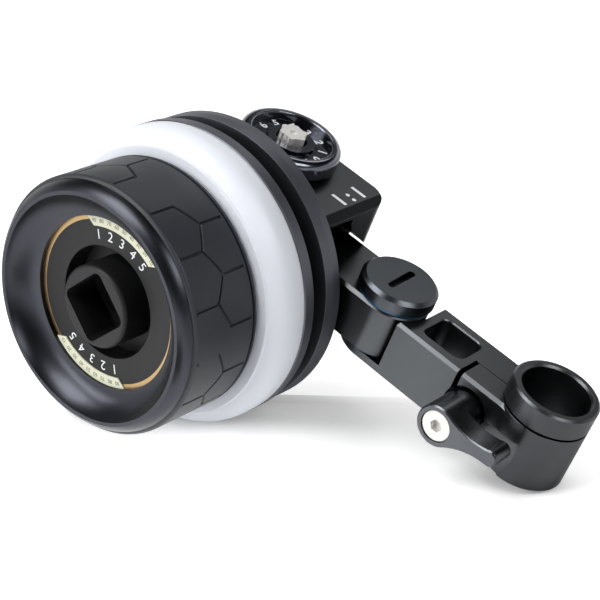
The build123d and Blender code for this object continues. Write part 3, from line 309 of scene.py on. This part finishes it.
def bare_metal(name, tint, rough, grain_mm, metallic=1.0):
    """Machined metal without a skin: bright, with fine tool marks."""
    made, tree, out = start(name)
    marks = noise(tree, place_of(tree), grain_mm, 4.0, 0.65)
    tone = mixed(tree, marks, tint, scaled(tint, 0.9))
    surface(tree, out, tone, spread(tree, marks, rough - 0.06, rough + 0.08), marks, 0.05, 0.004,
            Metallic=metallic)
    return made


def moulded(name, tint, rough, grain_mm, bump_mm, sheen=0.0, subsurface=0.0, ior=1.5, contrast=0.85):
    """Moulded plastic or rubber, paint and print: a soft skin with a fine grain."""
    made, tree, out = start(name)
    where = place_of(tree)
    grain = noise(tree, where, grain_mm, 3.0, 0.55)
    tone = mixed(tree, noise(tree, where, MOULD_CLOUD_MM), scaled(tint, contrast), tint)
    surface(tree, out, tone, spread(tree, grain, rough - 0.05, rough + 0.05), grain, 0.3, bump_mm,
            IOR=ior, Sheen_Weight=sheen, Sheen_Roughness=0.5, Subsurface_Weight=subsurface,
            Subsurface_Radius=(1.0, 1.0, 1.1), Subsurface_Scale=GLOW_DEPTH)
    return made


def make_finishes(ink):
    """One material for each of the record's slots, and two prints."""
    return {
        "arm_black": anodised("blasted_black_anodised_aluminium", ink.arm, 0.31, 0.22, wear=0.55),
        "disc_black": anodised("turned_black_anodised_aluminium", ink.disc, 0.45, 0.3, tuple(WHEEL), metallic=0.9),
        "dish_black": anodised("fine_turned_black_anodised_aluminium", ink.dish, 0.32, 0.3, tuple(WHEEL)),
        "face_black": moulded("matt_black_paint", ink.face, 0.5, 0.25, 0.02, ior=1.38),
        "lever_grey": anodised("blasted_grey_anodised_aluminium", ink.lever, 0.28, 0.22),
        "cap_black": anodised("blackened_steel", ink.cap, 0.3, 0.25, tuple(PIVOT["arm_pivot"]), "Z"),
        "knob_black": anodised("polished_black_anodised_aluminium", ink.knob, 0.2, 0.3, tuple(GEAR), "Z", coat=0.5),
        "rubber": moulded("moulded_silicone_rubber", ink.rubber, 0.5, 0.2, 0.03, sheen=0.05),
        "marking_white": moulded("translucent_white_acetal", ink.marking, 0.42, 0.3, 0.01, subsurface=0.6,
                                 contrast=0.97),
        "accent_bronze": bare_metal("bronze_anodised_aluminium", ink.accent, 0.38, 0.3),
        "inlay_cream": moulded("cream_print_film", ink.inlay, 0.5, 0.2, 0.01, contrast=0.95),
        "steel": bare_metal("stainless_steel", ink.steel, 0.4, 0.3, metallic=0.6),
        "screw_black": anodised("black_oxide_steel", ink.blackened, 0.35, 0.2),
        "bush_brass": bare_metal("turned_brass", ink.brass, 0.3, 0.3),
        "washer_blue": moulded("filled_blue_acetal", ink.washer, 0.35, 0.3, 0.01),
        "gear_black": anodised("hard_anodised_gear_aluminium", ink.gear, 0.4, 0.2),
        "print_white": moulded("white_screen_print", ink.print_white, 0.55, 0.12, 0.01, contrast=0.9),
        "print_grey": moulded("grey_screen_print", ink.print_grey, 0.6, 0.12, 0.01),
    }


# ---- mesh helpers --------------------------------------------------------
def settle(bm, name, body, slot, replaced=(), crease=math.radians(32)):
    """Turns a finished bmesh into a piece that rides on its body."""
    for edge in bm.edges:
        edge.smooth = edge.calc_face_angle(0.0) < crease
    mesh = to_mesh(bm, name)
    piece = bpy.data.objects.new(name, mesh)
    bpy.context.scene.collection.objects.link(piece)
    mesh.materials.append(bpy.data.materials[FINISH_NAMES[slot]])
    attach(piece, body)
    if replaced:
        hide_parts(*replaced)
    return piece


def to_mesh(bm, name):
    """A mesh with smooth faces, made from a bmesh that isn't needed afterwards."""
    for face in bm.faces:
        face.smooth = True
    mesh = bpy.data.meshes.new(name)
    bm.to_mesh(mesh)
    bm.free()
    return mesh


def everything(bm):
    """All the elements of a bmesh, for a cut through the whole of it."""
    return bm.verts[:] + bm.edges[:] + bm.faces[:]


def loop_out(bm, edges, shape):
    """Extrudes a loop of edges and moves the new loop by a function of its points."""
    made = bmesh.ops.extrude_edge_only(bm, edges=edges)["geom"]
    for vert in (v for v in made if isinstance(v, bmesh.types.BMVert)):
        vert.co = shape(vert.co)
    return [e for e in made if isinstance(e, bmesh.types.BMEdge)]


def round_wheel(radius, y):
    """A function that carries a point to a radius and a depth on the wheel's axis, at its own angle."""
    def carry(point):
        away = Vector((point.x - WHEEL.x, 0, point.z - WHEEL.z)).normalized() * radius
        return Vector((WHEEL.x + away.x, y, WHEEL.z + away.z))
    return carry


def solid(bm):
    """Merges doubles, then turns the faces outwards."""
    bmesh.ops.remove_doubles(bm, verts=bm.verts, dist=1e-6)
    bmesh.ops.recalc_face_normals(bm, faces=bm.faces)
    return bm


def printed(bm, text, size, thickness, place, weight=0.0):
    """Adds raised print to a bmesh: the text as a mesh, with its place applied."""
    curve = bpy.data.curves.new("print", "FONT")
    curve.body, curve.size, curve.extrude, curve.resolution_u = text, size, thickness / 2, 3
    curve.align_x, curve.align_y, curve.offset = "CENTER", "CENTER", weight
    holder = bpy.data.objects.new("print", curve)
    bpy.context.scene.collection.objects.link(holder)
    bpy.context.view_layer.update()
    mesh = bpy.data.meshes.new_from_object(holder)
    bpy.data.objects.remove(holder)
    bpy.data.curves.remove(curve)
    mesh.transform(place)
    bm.from_mesh(mesh)
    bpy.data.meshes.remove(mesh)


def on_wheel(radius, degrees, y):
    """The place of a print that looks forward from the wheel's face, with its top outwards."""
    turn = math.radians(degrees)
    spot = Vector((WHEEL.x + radius * math.cos(turn), y, WHEEL.z + radius * math.sin(turn)))
    return (Matrix.Translation(spot) @ Matrix.Rotation(math.pi / 2 - turn, 4, "Y")
            @ Matrix.Rotation(math.pi / 2, 4, "X"))


def on_knob(radius, degrees, z):
    """The place of a print that looks up from the knob, with its top outwards."""
    turn = math.radians(degrees)
    spot = Vector((GEAR.x + radius * math.cos(turn), GEAR.y + radius * math.sin(turn), z))
    return Matrix.Translation(spot) @ Matrix.Rotation(turn - math.pi / 2, 4, "Z")


# ---- operators -----------------------------------------------------------
class FOLLOWFOCUS_OT_finishes(bpy.types.Operator):
    """Give every machined and moulded part its finish"""
    bl_idname = "followfocus.finishes"
    bl_label = "Finishes"

    def execute(self, context):
        finishes = make_finishes(context.scene.follow_focus_finishes)
        FINISH_NAMES.update({slot: made.name for slot, made in finishes.items()})
        for node, part in frame["nodes"].items():
            part.data.materials.clear()
            part.data.materials.append(finishes[SLOT_OF[node]])
        return {"FINISHED"}


class FOLLOWFOCUS_OT_grip(bpy.types.Operator):
    """Mould the rubber grip with its pattern of thin grooves"""
    bl_idname = "followfocus.grip"
    bl_label = "Grip"

    def execute(self, context):
        size = context.scene.follow_focus_grip
        low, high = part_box("rubber_grip")
        radius, sleeve = (high.x - low.x) / 2, (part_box("wheel_core")[1].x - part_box("wheel_core")[0].x) / 2
        front, rear = low.y + size.shoulder, high.y - size.seam - 2 * size.groove_width
        bm = self.honeycomb(size, math.tau * radius, front, rear)
        self.press_grooves(bm, size, self.draw_runs(bm, size, math.tau * radius))
        self.roll_up(bm, size, radius)
        middle = (front + rear) / 2
        ends = [e for e in bm.edges if e.is_boundary]
        front_loop = [e for e in ends if e.verts[0].co.y < middle]
        rear_loop = [e for e in ends if e.verts[0].co.y > middle]
        for depths, widths in COLLAR:
            rear_loop = loop_out(bm, rear_loop, round_wheel(
                radius - depths * size.groove_depth, rear + widths * size.groove_width))
        rear = high.y - size.seam
        for k in range(1, ROUND_STEPS + 1):
            turn = math.pi / 2 * k / ROUND_STEPS
            front_loop = loop_out(bm, front_loop, round_wheel(
                radius - size.shoulder * (1 - math.cos(turn)), front - size.shoulder * math.sin(turn)))
            rear_loop = loop_out(bm, rear_loop, round_wheel(
                radius - size.seam * (1 - math.cos(turn)), rear + size.seam * math.sin(turn)))
        front_loop = loop_out(bm, front_loop, round_wheel(sleeve + FIT, low.y))
        rear_loop = loop_out(bm, rear_loop, round_wheel(sleeve + FIT, high.y))
        bmesh.ops.bridge_loops(bm, edges=front_loop + rear_loop)
        settle(solid(bm), "moulded_grip", "wheel", "rubber", ["rubber_grip"])
        return {"FINISHED"}

    def honeycomb(self, size, around, front, rear):
        """A flat strip of hexagons: along x once around the grip, along y from its front to its rear."""
        cell = around / size.cells
        bm = bmesh.new()
        rows = math.ceil((rear - front) / (cell * ROW_STEP)) + 1
        for row in range(-1, rows + 1):
            for column in range(-1, size.cells + 1):
                spot = ((column + 0.5 * (row % 2)) * cell, front + (row + ROW_SHIFT) * cell * ROW_STEP, 0)
                bmesh.ops.create_circle(bm, cap_ends=True, segments=6, radius=cell / math.sqrt(3),
                                        matrix=Matrix.Translation(spot))
        bmesh.ops.remove_doubles(bm, verts=bm.verts, dist=0.05 * MM)
        for point, normal in (((0, 0, 0), (-1, 0, 0)), ((around, 0, 0), (1, 0, 0)),
                              ((0, front, 0), (0, -1, 0)), ((0, rear, 0), (0, 1, 0))):
            bmesh.ops.bisect_plane(bm, geom=everything(bm), plane_co=point, plane_no=normal,
                                   clear_outer=True, dist=1e-7)
        return bm

    def draw_runs(self, bm, size, around):
        """The edges to groove: short runs along the cells' sides, so that most cells stay open."""
        edge_strip = around / size.cells * 0.1
        pick = random.Random(DRAW)
        inner = sorted((v for v in bm.verts if not v.is_boundary), key=lambda v: (round(v.co.x, 6), v.co.y))
        cut = set()
        for _ in range(size.runs):
            here, behind = pick.choice(inner), None
            for _ in range(pick.randint(*RUN_SIDES)):
                ways = [e for e in here.link_edges if e is not behind and e not in cut and not e.is_boundary
                        and all(edge_strip <= v.co.x <= around - edge_strip for v in e.verts)]
                if not ways:
                    break
                behind = pick.choice(sorted(ways, key=lambda e: tuple(e.other_vert(here).co)))
                cut.add(behind)
                here = behind.other_vert(here)
                if here.is_boundary:
                    break
        return sorted(cut, key=lambda e: e.index)

    def press_grooves(self, bm, size, edges):
        """Widens the edges to bands and sinks a narrower floor into them."""
        bands = bmesh.ops.bevel(bm, geom=edges, offset=size.groove_width / 2, offset_type="OFFSET", segments=1,
                                profile=0.5, affect="EDGES", material=-1)["faces"]
        bmesh.ops.inset_region(bm, faces=bands, thickness=size.groove_width * FLOOR_SHARE,
                               depth=-size.groove_depth, use_even_offset=True, use_boundary=True)

    def roll_up(self, bm, size, radius):
        """Cuts the strip into narrow columns, rolls it round the wheel's axis and joins its ends."""
        steps = size.cells * COLUMNS
        for k in range(1, steps):
            bmesh.ops.bisect_plane(bm, geom=everything(bm), plane_co=(math.tau * radius * k / steps, 0, 0),
                                   plane_no=(1, 0, 0), dist=1e-7)
        for vert in bm.verts:
            turn, out = vert.co.x / radius, radius + vert.co.z
            vert.co = Vector((WHEEL.x + out * math.sin(turn), vert.co.y, WHEEL.z + out * math.cos(turn)))
        bmesh.ops.remove_doubles(bm, verts=bm.verts, dist=0.01 * MM)


class FOLLOWFOCUS_OT_numerals(bpy.types.Operator):
    """Print plain numerals on the knob, the face and the cream arcs, and the ratio on the housing"""
    bl_idname = "followfocus.numerals"
    bl_label = "Numerals"

    def execute(self, context):
        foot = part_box("star_stub")[0].z - SINK
        self.marks("knob_numerals", "drive", "print_white", [
            (str(i), NUMERAL, INK, on_knob(KNOB_PRINT_R, 30 * i + KNOB_START, foot), KNOB_WEIGHT)
            for i in range(12)])
        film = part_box("face_inlays")[0].y
        self.marks("arc_numerals", "wheel", "print_grey", [
            (str(10 * (5 + i)), ARC_NUMERAL, FILM_INK, on_wheel(ARC_PRINT_R, middle + ARC_STEP * i, film))
            for middle in ARC_MIDDLES for i in range(-4, 5)])
        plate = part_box("face_plate")[0].y
        self.marks("face_numerals", "wheel", "print_white", [
            (str(i + 1), NUMERAL, INK, on_wheel(FACE_PRINT_R, middle + FACE_STEP * (2 - i), plate))
            for middle in ARC_MIDDLES for i in range(5)])
        top = Vector((*RATIO_AT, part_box("gearbox_housing")[1].z))
        self.marks("ratio_mark", "head", "print_white", [
            ("1 : 1", RATIO_SIZE, INK, Matrix.Translation(top) @ Matrix.Rotation(math.pi / 2, 4, "Z"),
             RATIO_WEIGHT)])
        return {"FINISHED"}

    def marks(self, name, body, slot, prints):
        """One piece of prints, each a text with its size, thickness, place and added weight."""
        bm = bmesh.new()
        for each in prints:
            printed(bm, *each)
        settle(solid(bm), name, body, slot)


class FOLLOWFOCUS_OT_stage(bpy.types.Operator):
    """Lay the unit on a pale floor under soft lamps and set the camera"""
    bl_idname = "followfocus.stage"
    bl_label = "Stage and camera"

    def execute(self, context):
        scene, size = context.scene, context.scene.follow_focus_stage
        scene.view_settings.view_transform = "Standard"
        back = Vector((math.sin(CAMERA_TURN) * math.cos(CAMERA_RISE), -math.cos(CAMERA_TURN) * math.cos(CAMERA_RISE),
                       math.sin(CAMERA_RISE)))
        self.camera(scene, back)
        up = Vector((-math.sin(size.floor_tilt), 0, math.cos(size.floor_tilt)))
        toward = (back - up * back.dot(up)).normalized()
        right = toward.cross(up) * -1
        lean = Matrix((right, toward * -1, up)).transposed().to_4x4()
        self.floor(scene, size, lean, toward, right)
        self.flag(scene, lean)
        for name, ahead, aside, wide, deep in CARDS:
            spot = CAMERA_AIM + toward * ahead * MM + right * aside * MM
            self.card(scene, lean, name, spot, wide * MM, deep * MM)
        for name, around, height, far, wide, tall, watts in LAMPS:
            around, height = math.radians(around), math.radians(height)
            away = ((toward * math.cos(around) + right * math.sin(around)) * math.cos(height)
                    + up * math.sin(height))
            lamp = bpy.data.lights.new(name, "AREA")
            lamp.shape, lamp.size, lamp.size_y, lamp.energy = "RECTANGLE", wide, tall, watts * size.lamp_level
            holder = bpy.data.objects.new(name, lamp)
            scene.collection.objects.link(holder)
            holder.matrix_world = (Matrix.Translation(CAMERA_AIM + away * far)
                                   @ away.to_track_quat("Z", "Y").to_matrix().to_4x4())
        self.sky(scene)
        return {"FINISHED"}

    def camera(self, scene, back):
        """The camera, with its direction given from the unit back to it."""
        lens = bpy.data.cameras.new("camera")
        lens.lens, lens.sensor_width = LENS, SENSOR
        lens.clip_start, lens.clip_end = 0.01, 20.0
        camera = bpy.data.objects.new("camera", lens)
        scene.collection.objects.link(camera)
        camera.matrix_world = (
            Matrix.Translation(CAMERA_AIM + back * CAMERA_AWAY) @ Matrix.Rotation(CAMERA_TURN, 4, "Z")
            @ Matrix.Rotation(math.pi / 2 - CAMERA_RISE, 4, "X") @ Matrix.Rotation(CAMERA_ROLL, 4, "Z"))
        scene.camera = camera

    def floor(self, scene, size, lean, toward, right):
        """The paper sheet: fine near the unit and wide at its rim."""
        bm = bmesh.new()
        bmesh.ops.create_grid(bm, x_segments=FLOOR_CELLS, y_segments=FLOOR_CELLS, size=1)
        for vert in bm.verts:
            aside, back_off = (FLOOR_REACH * (FLOOR_FINE * c + (1 - FLOOR_FINE) * c ** 3) for c in vert.co.xy)
            vert.co = lean @ Vector((aside, back_off, self.floor_height(size, -back_off, aside)))
        mesh = to_mesh(bm, "floor")
        mesh.materials.append(self.floor_paper(toward, right))
        self.put(scene, mesh)

    def put(self, scene, mesh):
        """Makes a mesh a part of the stage."""
        made = bpy.data.objects.new(mesh.name, mesh)
        scene.collection.objects.link(made)
        return made

    def floor_height(self, size, ahead, aside):
        """Height of the paper: it carries the unit, and falls away before and behind it, where the wheel
        dips when the arm folds."""
        def ease(fall, value):
            begin, reach = fall
            part = min(1.0, max(0.0, (value - begin * MM) / (reach * MM)))
            return (3 - 2 * part) * part ** 2
        front = ease(FRONT_FALL, ahead) * ease(LEFT_FALL, -aside)
        return -size.floor_drop - size.floor_fall * (front + BACK_SHARE * ease(BACK_FALL, -ahead))

    def floor_paper(self, toward, right):
        """White seamless paper: it takes the shadows, glows white where nothing stands near it and less near the
        unit as a painted shadow, glows in a painted pool of light before the wheel, and is clear from below."""
        made, tree, out = start("white_seamless_paper")
        path = add(tree, "ShaderNodeLightPath").outputs
        side = add(tree, "ShaderNodeNewGeometry").outputs
        tone = mixed(tree, noise(tree, place_of(tree), 1.5, 3.0), linear("#f6f6f8"), linear("#ffffff"))
        paper = add(tree, "ShaderNodeBsdfDiffuse", {"Color": tone})
        # painted shadow: the paper's white glow dims where the unit stands near it
        near = add(tree, "ShaderNodeAmbientOcclusion", {"Distance": PAINTED_SHADOW_REACH}, samples=8)
        painted_shadow_mask = spread(tree, near.outputs["AO"], 0.0, 1.0, *PAINTED_SHADOW_OPEN)
        base = calc(tree, "MULTIPLY", painted_shadow_mask, spread(tree, path["Is Camera Ray"], 0.0, PAPER_GLOW))
        # a painted pool of light before the wheel, at its left, which the metal also mirrors as a painted reflection
        front = spread(tree, dot(tree, side["Position"], toward), 0.0, PAINTED_POOL_GLOW, *PAINTED_POOL_AHEAD,
                       interpolation_type="SMOOTHSTEP")
        left = spread(tree, dot(tree, side["Position"], right), 0.0, 1.0, *PAINTED_POOL_LEFT,
                      interpolation_type="SMOOTHSTEP")
        looked = calc(tree, "MAXIMUM", path["Is Camera Ray"], path["Is Glossy Ray"])
        painted_light_pool = calc(tree, "MULTIPLY", calc(tree, "MULTIPLY", front, left), looked)
        light = add(tree, "ShaderNodeEmission", {"Strength": calc(tree, "ADD", base, painted_light_pool)})
        sheet = add(tree, "ShaderNodeAddShader", {0: paper.outputs["BSDF"], 1: light.outputs["Emission"]})
        clear = add(tree, "ShaderNodeBsdfTransparent")
        seen = calc(tree, "MULTIPLY", path["Is Camera Ray"], SHEER)
        both = add(tree, "ShaderNodeMixShader", {
            0: calc(tree, "MAXIMUM", seen, side["Backfacing"]), 1: sheet.outputs["Shader"],
            2: clear.outputs["BSDF"],
        })
        tree.links.new(both.outputs["Shader"], out.inputs["Surface"])
        return made

    def flag(self, scene, lean):
        """A dark cloth above the set, out of the camera's sight, that keeps black metal black."""
        basis = lean.to_3x3()
        bm = bmesh.new()
        bmesh.ops.create_uvsphere(bm, u_segments=32, v_segments=16, radius=FLAG_R, matrix=lean)
        bmesh.ops.bisect_plane(bm, geom=everything(bm), plane_co=basis @ Vector((0, 0, FLAG_LEVEL)),
                               plane_no=basis @ Vector((0, FLAG_LEAN, 1)), clear_inner=True)
        bmesh.ops.reverse_faces(bm, faces=bm.faces)
        mesh = bpy.data.meshes.new("overhead_flag")
        bm.to_mesh(mesh)
        bm.free()
        mesh.materials.append(self.cloth("black_cloth", "#303034", "#45454b"))
        self.put(scene, mesh).visible_camera = False

    def cloth(self, name, deep, pale):
        """Stage cloth between two near blacks."""
        made, tree, out = start(name)
        tone = mixed(tree, noise(tree, place_of(tree), 25), linear(deep), linear(pale))
        weft = add(tree, "ShaderNodeBsdfDiffuse", {"Color": tone})
        tree.links.new(weft.outputs["BSDF"], out.inputs["Surface"])
        return made

    def card(self, scene, lean, name, spot, wide, deep):
        """A black card laid on the floor, which only the unit's metal mirrors."""
        right, away, up = (lean.to_3x3() @ Vector(axis) for axis in ((1, 0, 0), (0, 1, 0), (0, 0, 1)))
        level = self.floor_height(scene.follow_focus_stage, -spot.dot(away), spot.dot(right)) + MM
        bm = bmesh.new()
        bmesh.ops.create_grid(bm, x_segments=1, y_segments=1, size=1,
                              matrix=Matrix.Translation(spot + up * (level - spot.dot(up))) @ lean
                              @ Matrix.Diagonal((wide, deep, 1, 1)))
        mesh = to_mesh(bm, name)
        velvet = bpy.data.materials.get("black_velvet") or self.cloth("black_velvet", "#08080a", "#111113")
        mesh.materials.append(velvet)
        card = self.put(scene, mesh)
        card.visible_camera = card.visible_diffuse = card.visible_shadow = False

    def sky(self, scene):
        """White where it is seen or mirrored, and a low even fill elsewhere."""
        world = bpy.data.worlds.new("white_studio")
        scene.world = world
        world.use_nodes = True
        tree = world.node_tree
        tree.nodes.clear()
        path = add(tree, "ShaderNodeLightPath").outputs
        seen = calc(tree, "MAXIMUM", path["Is Camera Ray"], path["Is Glossy Ray"])
        fill, white = (add(tree, "ShaderNodeBackground", {"Color": (1, 1, 1, 1), "Strength": strength})
                       for strength in (FILL, WHITE))
        both = add(tree, "ShaderNodeMixShader", {
            0: calc(tree, "MAXIMUM", seen, path["Is Transmission Ray"]),
            1: fill.outputs["Background"], 2: white.outputs["Background"],
        })
        add(tree, "ShaderNodeOutputWorld", {"Surface": both.outputs["Shader"]})


OPERATORS = (FOLLOWFOCUS_OT_finishes, FOLLOWFOCUS_OT_grip, FOLLOWFOCUS_OT_numerals, FOLLOWFOCUS_OT_stage)


class FOLLOWFOCUS_PT_panel(bpy.types.Panel):
    """Lists the unit's steps"""
    bl_idname = "FOLLOWFOCUS_PT_panel"
    bl_label = "Follow Focus"
    bl_space_type = "VIEW_3D"
    bl_region_type = "UI"
    bl_category = "Follow Focus"

    def draw(self, context):
        for step in OPERATORS:
            self.layout.operator(step.bl_idname)


GROUPS = {"follow_focus_finishes": FollowFocusFinishes, "follow_focus_grip": FollowFocusGrip,
          "follow_focus_stage": FollowFocusStage}


def register():
    for group in GROUPS.values():
        bpy.utils.register_class(group)
    for name, group in GROUPS.items():
        setattr(bpy.types.Scene, name, bpy.props.PointerProperty(type=group))
    for kind in (*OPERATORS, FOLLOWFOCUS_PT_panel):
        bpy.utils.register_class(kind)


def unregister():
    for kind in reversed((*OPERATORS, FOLLOWFOCUS_PT_panel)):
        bpy.utils.unregister_class(kind)
    for name, group in GROUPS.items():
        delattr(bpy.types.Scene, name)
        bpy.utils.unregister_class(group)


def main():
    register()
    for step in OPERATORS:
        group, name = step.bl_idname.split(".")
        getattr(getattr(bpy.ops, group), name)()


if __name__ == "__main__":
    main()
